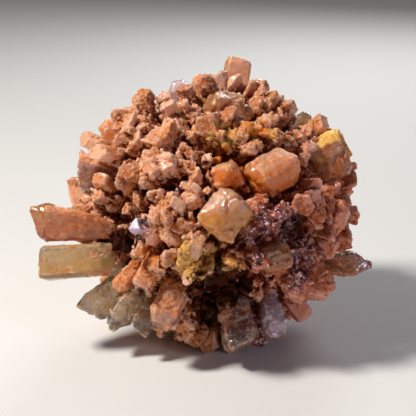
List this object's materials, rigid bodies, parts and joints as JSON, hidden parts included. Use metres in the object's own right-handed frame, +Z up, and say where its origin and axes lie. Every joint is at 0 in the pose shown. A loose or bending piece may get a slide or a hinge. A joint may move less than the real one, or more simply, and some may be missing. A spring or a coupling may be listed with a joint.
{
  "type": "creedite cluster",
  "caption": "Small natural ball of stubby prismatic crystals that radiate from its middle, dusted with peach-pink clay, lying on a small flat spot.",
  "frame": {"origin": "on the resting surface, under the point that the crystals radiate from", "axes": "+Z up, -Y towards the front of the picture, +X towards the picture's right"},
  "size_m": [0.0413, 0.0356, 0.0335],
  "materials": {
    "dusty_mass": "matte peach-pink clay over small crystals",
    "straw_crystal": "nearly clear straw crystal, polished by nature",
    "peach_crystal": "glassy peach crystal with light dust",
    "orange_crystal": "glassy brown-orange crystal",
    "amber_crystal": "glassy amber crystal",
    "ochre_crystal": "porous ochre-yellow crystal, satin",
    "clear_crystal": "nearly clear grey-green crystal",
    "rose_crystal": "dusty rose crystal, satin with glints"
  },
  "bodies": {
    "root": {"crystal_mass": "dusty_mass", "left_prism": "straw_crystal", "left_blade": "orange_crystal", "left_knob": "rose_crystal", "shoulder_tooth": "peach_crystal", "violet_point": "rose_crystal", "top_left_prism": "peach_crystal", "top_prism": "peach_crystal", "top_right_prism": "peach_crystal", "crown_crystal": "orange_crystal", "upper_right_prism": "straw_crystal", "yellow_block": "ochre_crystal", "amber_crystal": "amber_crystal", "peach_crystal": "peach_crystal", "center_crystal": "peach_crystal", "lower_amber": "orange_crystal", "front_finger": "rose_crystal", "left_bar": "rose_crystal", "left_tablet": "rose_crystal", "clear_blade": "clear_crystal", "clear_point": "clear_crystal", "clear_tablet": "clear_crystal", "lower_crystal": "rose_crystal", "lower_glint": "rose_crystal", "right_spur": "straw_crystal", "back_left_prism": "peach_crystal", "back_blade": "orange_crystal", "back_right_block": "straw_crystal", "back_low_point": "clear_crystal", "back_top_stub": "rose_crystal"}
  },
  "joints": []
}
